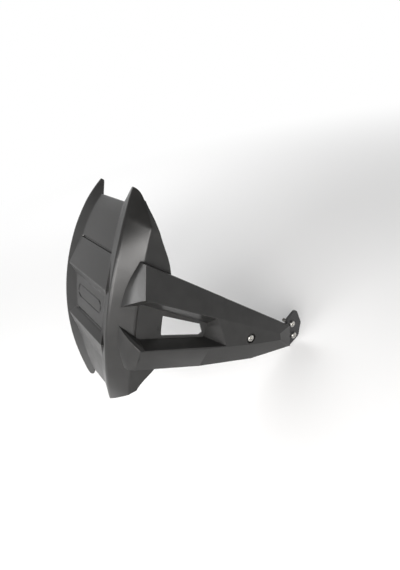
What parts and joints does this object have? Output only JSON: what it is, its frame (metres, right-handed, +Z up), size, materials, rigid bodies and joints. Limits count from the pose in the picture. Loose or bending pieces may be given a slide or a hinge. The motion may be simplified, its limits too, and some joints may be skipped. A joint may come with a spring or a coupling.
{
  "type": "motorcycle rear hugger mudguard",
  "caption": "Rear hugger mudguard: a channelled guard curved round the back of the tyre, on a hollow side arm that a stay plate screws to the swing arm.",
  "frame": {"origin": "on the seat of the stay plate, midway between the two mounting screws", "axes": "+X to the bike's right, +Y forward, +Z up, with the guard as it sits on the bike; the wheel's axle runs along X at Y 0.035, Z 0.026"},
  "size_m": [0.2046, 0.3096, 0.3221],
  "materials": {
    "moulding": "fine-grained satin black",
    "stay": "black powder coat",
    "washer": "satin black",
    "screws": "plain stainless steel",
    "nut": "zinc plated"
  },
  "bodies": {
    "root": {"guard_moulding": "moulding", "stay_plate": "stay", "cup_washer": "washer", "arm_screw": "screws", "arm_nut": "nut", "mount_screws": "screws"}
  },
  "joints": []
}
